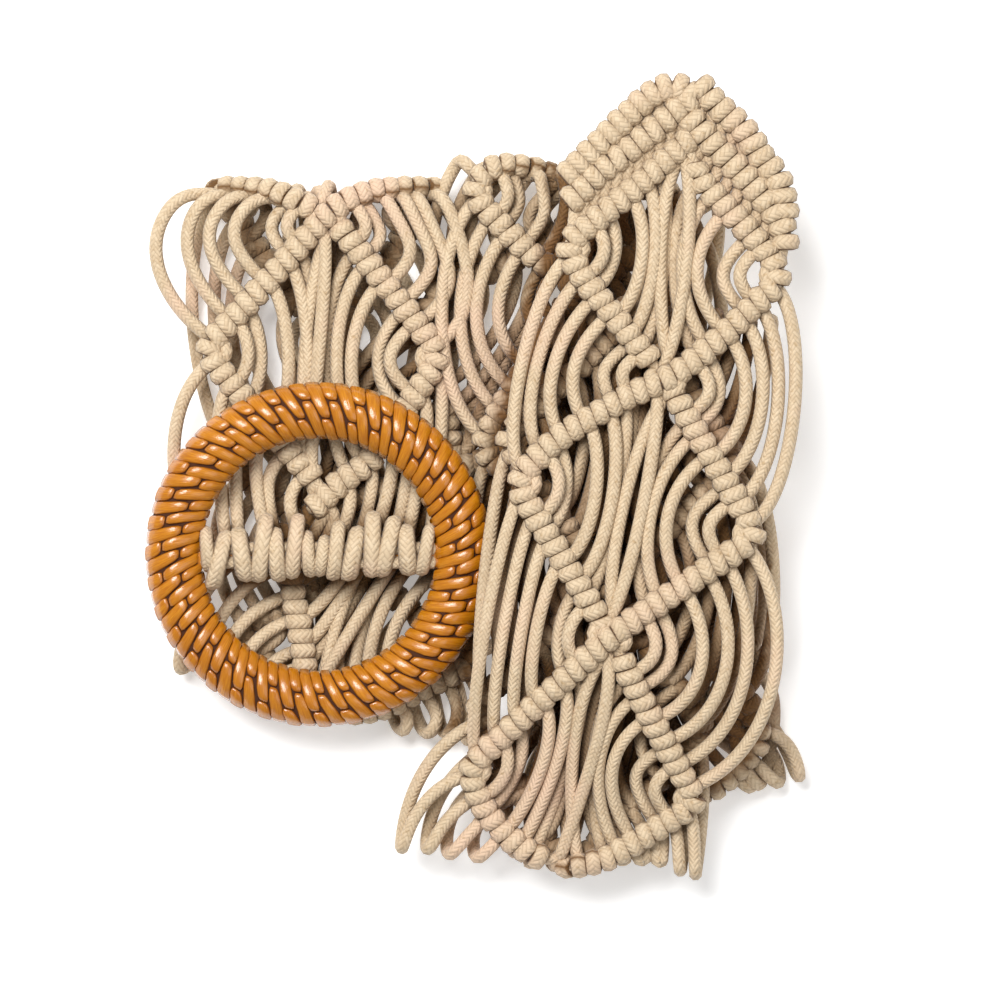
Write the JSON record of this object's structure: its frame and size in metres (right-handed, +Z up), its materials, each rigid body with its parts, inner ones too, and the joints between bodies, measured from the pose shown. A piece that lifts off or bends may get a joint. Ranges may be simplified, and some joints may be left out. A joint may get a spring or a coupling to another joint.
{
  "type": "macrame belt",
  "caption": "Knotted cord belt with a plaited ring buckle and a pointed tip, folded into a flat bundle.",
  "frame": {"origin": "centre of the bundle's bounding box, on the table", "axes": "+Z up from the table, +Y along the folded belt towards its pointed tip, +X from the buckle's side to the front stretch's side"},
  "size_m": [0.1556, 0.1916, 0.0332],
  "materials": {
    "cotton_cord": "waxed braided cotton, matt",
    "resin": "glossy amber resin with a plaited surface"
  },
  "bodies": {
    "root": {"buckle": "resin", "larks_head_1": "cotton_cord", "larks_head_2": "cotton_cord", "larks_head_3": "cotton_cord", "larks_head_4": "cotton_cord", "larks_head_5": "cotton_cord", "larks_head_6": "cotton_cord", "larks_head_7": "cotton_cord", "band_1_buckle_end": "cotton_cord", "band_2_lowest": "cotton_cord", "band_3_diagonal": "cotton_cord", "band_4_under_return": "cotton_cord", "band_5_inner": "cotton_cord", "band_6_inner_return": "cotton_cord", "band_7_front": "cotton_cord"}
  },
  "joints": []
}
